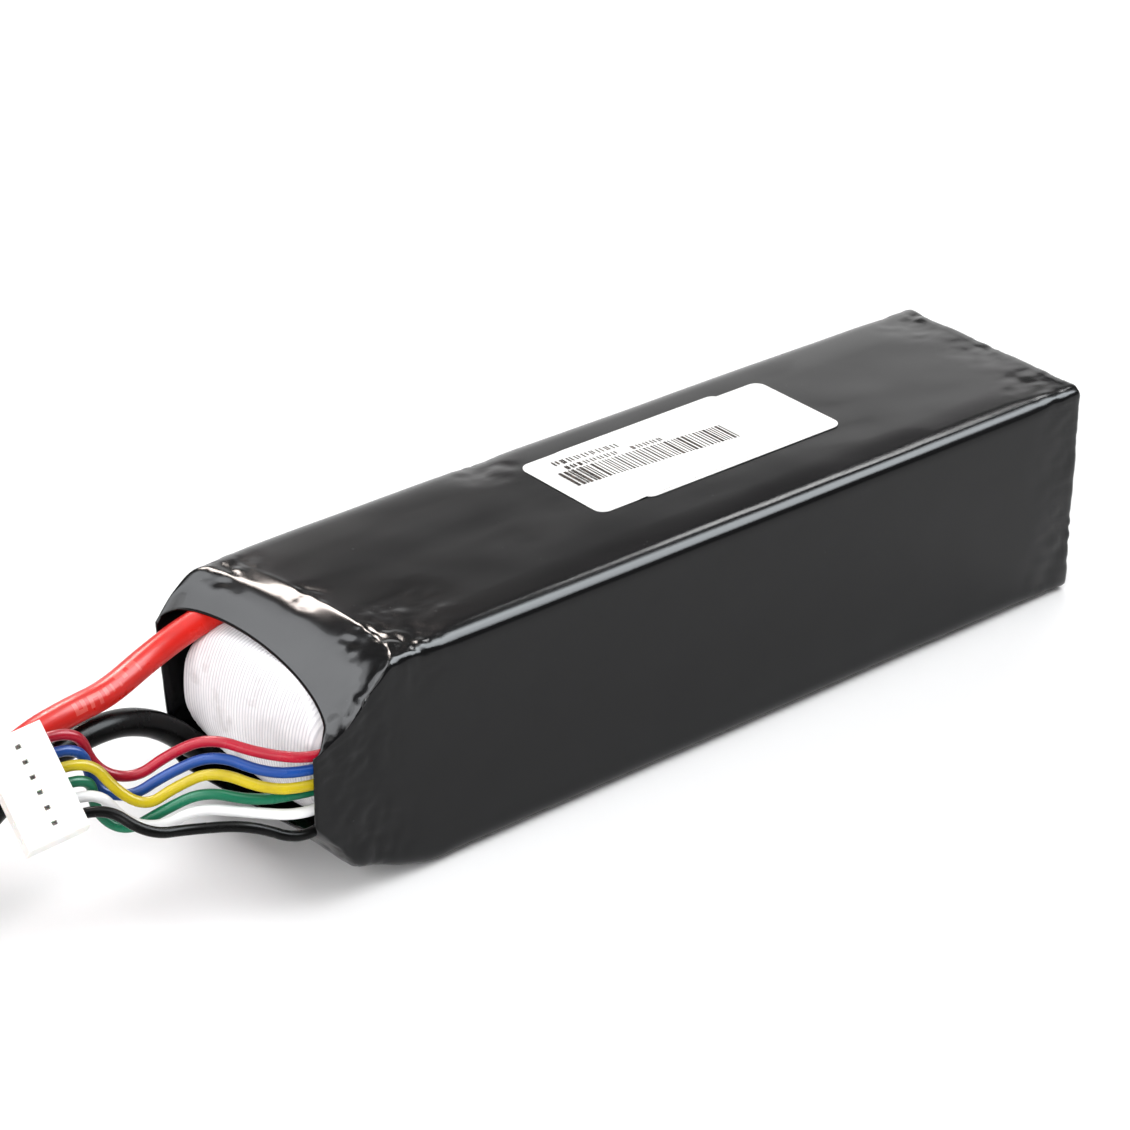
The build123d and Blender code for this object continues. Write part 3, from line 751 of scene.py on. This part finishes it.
# The balance plug: the middle of its lead side, its mating axis and its width.
PLUG_ORIGIN = Vector((-0.1117, 0.0015, 0.0258))
PLUG_AXIS = Vector((-0.956, 0.205, -0.21)).normalized()
PLUG_ACROSS = Vector((0.008, -0.697, -0.717))
PLUG_ACROSS = (PLUG_ACROSS - PLUG_AXIS * PLUG_ACROSS.dot(PLUG_AXIS)).normalized()
SENSE_PITCH = 0.0025
STRAIGHT_BEFORE_PLUG, STRAIGHT_STEP = 0.005, 0.00035
WIRE_IN_PLUG = 0.002
MAIN_DIAMETER, SENSE_DIAMETER = 0.0045, 0.0017


def lead_tube(name, route, diameter, material):
    """A lead's tube along its NURBS route, and the points of its centreline."""
    curve = bpy.data.curves.new(name, "CURVE")
    curve.dimensions = "3D"
    spline = curve.splines.new("NURBS")
    spline.points.add(len(route) - 1)
    for point, place in zip(spline.points, route):
        point.co = (*place, 1)
    spline.order_u = 3
    spline.use_endpoint_u = True
    spline.resolution_u = 20
    drawn = bpy.data.objects.new(name + "_route", curve)
    bpy.context.scene.collection.objects.link(drawn)
    line = bpy.data.meshes.new_from_object(drawn)
    path = [v.co.copy() for v in line.vertices]
    bpy.data.meshes.remove(line)
    curve.bevel_depth = diameter / 2
    curve.bevel_resolution = 8
    curve.use_fill_caps = True
    depsgraph = bpy.context.evaluated_depsgraph_get()
    mesh = bpy.data.meshes.new_from_object(drawn.evaluated_get(depsgraph))
    bpy.data.objects.remove(drawn)
    mesh.name = name
    mesh.polygons.foreach_set("use_smooth", [True] * len(mesh.polygons))
    piece = bpy.data.objects.new(name, mesh)
    bpy.context.scene.collection.objects.link(piece)
    shade(material, piece)
    return piece, path


# The print on the positive lead: five block marks, much like a wire gauge's letters, each
# of three columns along the lead by five rows around it.
GAUGE_MARKS = [
    ("#..", "#..", "#..", "#..", "###"), ("###", "..#", "###", "#..", "###"),
    (".#.", "#.#", "###", "#.#", "#.#"), ("#.#", "#.#", "#.#", "###", ".#."),
    ("###", "#..", "#.#", "#.#", "###"),
]
MARK_COLUMNS, MARK_ROWS = 3, 5
MARK_START = 0.0195        # along the lead, from its solder joint
MARK_PITCH, MARK_STROKE = 0.0030, 0.0007
MARK_ROW = math.radians(10)
MARK_FACING = Vector((-0.56, -0.68, 0.48))      # the side of the lead that is printed


def print_gauge(piece, path, ink):
    """Colours the lead's faces that lie under the printed marks."""
    piece.data.materials.append(ink)
    run, places = 0.0, []
    for a, b in zip(path, path[1:]):
        places.append((a, (b - a).normalized(), run))
        run += (b - a).length
    for face in piece.data.polygons:
        origin, along, start = min(places, key=lambda p: (face.center - p[0]).length_squared)
        offset = face.center - origin
        distance = start + offset.dot(along) - MARK_START
        mark = int(distance // MARK_PITCH)
        column = int((distance - mark * MARK_PITCH) // MARK_STROKE)
        if not 0 <= mark < len(GAUGE_MARKS) or column >= MARK_COLUMNS:
            continue
        outward = offset - along * offset.dot(along)
        middle = MARK_FACING - along * MARK_FACING.dot(along)
        turn = math.atan2(along.dot(middle.cross(outward)), middle.dot(outward))
        row = math.floor(turn / MARK_ROW + MARK_ROWS / 2)
        if 0 <= row < MARK_ROWS and GAUGE_MARKS[mark][row][column] == "#":
            face.material_index = 1


def make_leads():
    """The two main leads and the six balance wires, each one cord to its plug."""
    soot, haze = (0.002, 0.002, 0.002), (0.004, 0.004, 0.004)
    red = silicone("red_silicone", (0.66, 0.016, 0.010), (0.56, 0.012, 0.008), 0.26)
    black = silicone("black_silicone", soot, haze, 0.22, 0.14)
    sense_colours = {
        "red": silicone("red_wire", (0.43, 0.005, 0.024), (0.34, 0.004, 0.019), 0.24),
        "blue": silicone("blue_wire", (0.008, 0.062, 0.30), (0.007, 0.050, 0.24), 0.24),
        "yellow": silicone("yellow_wire", (0.55, 0.43, 0.011), (0.46, 0.35, 0.009), 0.24),
        "green": silicone("green_wire", (0.008, 0.15, 0.075), (0.006, 0.12, 0.06), 0.26),
        "white": silicone("white_wire", (0.86, 0.86, 0.86), (0.78, 0.78, 0.79)),
        "black": silicone("black_wire", soot, haze, 0.22, 0.14),
    }
    mains = (("positive", POSITIVE_ROUTE, red, (-0.081, 0.0172, 0.0325)),
             ("negative", NEGATIVE_ROUTE, black, (-0.081, 0.0158, 0.0130)))
    for pole, route, material, exit_point in mains:
        piece, path = lead_tube(f"{pole}_main_lead", route, MAIN_DIAMETER, material)
        if pole == "positive":
            ink = silicone("gauge_ink", (0.72, 0.11, 0.09), (0.66, 0.06, 0.05))
            print_gauge(piece, path, ink)
        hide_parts(f"{pole}_lead")
        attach(piece, "root")
    for index, (colour, route) in enumerate(SENSE_ROUTES.items()):
        place = index - (len(SENSE_ROUTES) - 1) / 2
        across = PLUG_ORIGIN + PLUG_ACROSS * SENSE_PITCH * place
        straight = STRAIGHT_BEFORE_PLUG - STRAIGHT_STEP * index
        ends = [across - PLUG_AXIS * straight, across + PLUG_AXIS * WIRE_IN_PLUG]
        whole = route + [tuple(p) for p in ends]
        piece, path = lead_tube(f"{colour}_balance_wire", whole, SENSE_DIAMETER,
                                sense_colours[colour])
        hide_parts(f"balance_lead_{colour}")
        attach(piece, "root")


# ---- carried-over CAD nodes --------------------------------------------------
def dress_nodes():
    """Gives each CAD node that stays its material, and softens the moulded ones."""
    copper = metal("copper_bar", (0.72, 0.36, 0.22), (0.45, 0.22, 0.13), 0.3, (1, 4, 1))
    tin = metal("tinned", (0.66, 0.65, 0.62), (0.5, 0.49, 0.46), 0.28)
    aluminium = metal("aluminium_tab", (0.78, 0.78, 0.79), (0.62, 0.62, 0.63), 0.3, (1, 6, 1))
    nickel = metal("nickel_tab", (0.62, 0.59, 0.54), (0.5, 0.46, 0.41), 0.28, (1, 6, 1))
    pouch = metal("pouch_laminate", (0.60, 0.61, 0.63), (0.50, 0.51, 0.53), 0.34)
    gold = metal("gold_plate", (0.90, 0.64, 0.26), (0.74, 0.50, 0.19), 0.18)
    white_nylon = moulded("white_nylon", (0.90, 0.90, 0.87), (0.84, 0.84, 0.80), 0.42, 0.25)
    yellow_nylon = moulded("yellow_nylon", (0.86, 0.52, 0.015), (0.74, 0.42, 0.01), 0.36, 0.1)
    board = moulded("circuit_board", (0.012, 0.13, 0.055), (0.008, 0.09, 0.04), 0.4)
    guard = moulded("glass_fibre", (0.30, 0.42, 0.24), (0.22, 0.33, 0.17), 0.5)
    amber = moulded("amber_film", (0.55, 0.25, 0.03), (0.42, 0.18, 0.02), 0.25)
    spacer = moulded("spacer_tape", (0.80, 0.79, 0.74), (0.68, 0.67, 0.62), 0.6)
    binding = moulded("binding_tape", (0.80, 0.55, 0.03), (0.70, 0.46, 0.02), 0.3)
    red_tube = silicone("red_shrink_tube", (0.60, 0.012, 0.010), (0.50, 0.010, 0.008), 0.22)
    black_tube = silicone("black_shrink_tube", (0.010, 0.010, 0.010), (0.02, 0.02, 0.02), 0.22)
    starts = [
        ("cell_spacer", spacer), ("series_link", copper), ("positive_bus", copper),
        ("negative_bus", copper), ("main_solder", tin), ("balance_solder", tin),
        ("lower_guard", guard), ("upper_guard", guard), ("binding_tape", binding),
        ("tab_board", board), ("insulation", amber), ("balance_plug_housing", white_nylon),
        ("balance_plug_contacts", tin), ("power_plug_body", yellow_nylon), ("power_plug", gold),
        ("positive_solder", red_tube), ("negative_solder", black_tube),
    ]
    for name, node in NODES.items():
        if node.hide_render:
            continue
        found = [m for start, m in starts if name.startswith(start)]
        if name.endswith("positive_tab"):
            found = [aluminium]
        elif name.endswith("negative_tab"):
            found = [nickel]
        elif not found and name.startswith("cell_"):
            found = [pouch]
        shade(found[0], node)
    soften_edges(NODES["balance_plug_housing"], 0.16)
    soften_edges(NODES["power_plug_body"], 0.3)
    for pole in ("positive", "negative"):
        soften_edges(NODES[f"power_plug_{pole}_socket"], 0.12)


# ---- camera, floor and light -------------------------------------------------
FOCAL_LENGTH = 118.03
CAMERA_PLACE = (-0.35315, -0.40595, 0.31415)
CAMERA_RIGHT, CAMERA_BACK = (0.7707, -0.6372, 0.0025), (-0.5616, -0.6773, 0.4753)
FLOOR_REACH, FLOOR_LEVEL = 6000, -0.05
WORLD_STRENGTH = 0.22
WHITE = (1, 1, 1)
# Softboxes: direction from the pack, distance, size, power, what they light, and colour.
LIGHTS = {
    "edge_box": ((0.5, -0.42, 0.78), 1.1, (0.6, 0.95), 35, "glossy", (0.90, 0.96, 1.0)),
    "edge_bar": ((0.62, 0.27, 0.74), 1.2, (0.36, 0.07), 2.6, "glossy", WHITE),
    "mouth_box": ((-0.55, 0.34, 0.765), 1.1, (0.76, 0.8), 18.5, "glossy", (0.95, 0.97, 1.0)),
    "ridge_box": ((0.17, 0.66, 0.72), 1.2, (0.34, 0.34), 17, "glossy", (1.0, 0.90, 0.84)),
    "back_wall": ((0.66, 0.70, 0.26), 1.3, (1.5, 0.576), 4.6, "glossy", WHITE),
    "overhead": ((0.1, -0.25, 1.0), 1.4, (1.2, 1.2), 13, "both", WHITE),
    "left_fill": ((-0.80, -0.25, 0.42), 1.3, (0.9, 0.9), 14, "both", WHITE),
    "floor_fill": ((0.5, 0.75, 0.8), 1.8, (1.6, 1.2), 16, "diffuse", WHITE),
}


def make_camera():
    """A long lens, above and to the left of the mouth."""
    data = bpy.data.cameras.new("camera")
    data.sensor_width = 36
    data.lens = FOCAL_LENGTH
    data.clip_start = 0.01
    camera = bpy.data.objects.new("camera", data)
    back = Vector(CAMERA_BACK).normalized()
    up = back.cross(Vector(CAMERA_RIGHT)).normalized()
    right = up.cross(back).normalized()
    turn = Matrix((right, up, back)).transposed().to_4x4()
    camera.matrix_world = Matrix.Translation(CAMERA_PLACE) @ turn
    bpy.context.scene.collection.objects.link(camera)
    bpy.context.scene.camera = camera


def area_light(name, direction, distance, size, power, seen_by, colour):
    """A softbox that faces the pack; it may light only highlights or only flat colour."""
    data = bpy.data.lights.new(name, "AREA")
    data.shape = "RECTANGLE"
    data.size, data.size_y = size
    data.energy = power
    data.color = colour
    light = bpy.data.objects.new(name, data)
    place = Vector(direction).normalized() * distance
    light.location = place
    light.rotation_euler = place.to_track_quat("Z", "Y").to_euler()
    light.visible_diffuse = seen_by != "glossy"
    light.visible_glossy = seen_by != "diffuse"
    bpy.context.scene.collection.objects.link(light)


def make_stage():
    """The floor, the dim white surroundings and the softboxes."""
    corners = [(side * FLOOR_REACH, end * FLOOR_REACH, FLOOR_LEVEL)
               for side, end in ((-1, -1), (1, -1), (1, 1), (-1, 1))]
    floor = make_object("floor", corners, [(0, 1, 2, 3)], smooth=False)
    shade(floor_white(), floor)
    world = bpy.data.worlds.new("studio")
    world.use_nodes = True
    background = world.node_tree.nodes["Background"]
    background.inputs["Color"].default_value = (*WHITE, 1)
    background.inputs["Strength"].default_value = WORLD_STRENGTH
    bpy.context.scene.world = world
    for name, light in LIGHTS.items():
        area_light(name, *light)
    bpy.context.scene.view_settings.view_transform = "Standard"


make_sleeve()
make_labels()
make_pads()
make_leads()
dress_nodes()
make_camera()
make_stage()
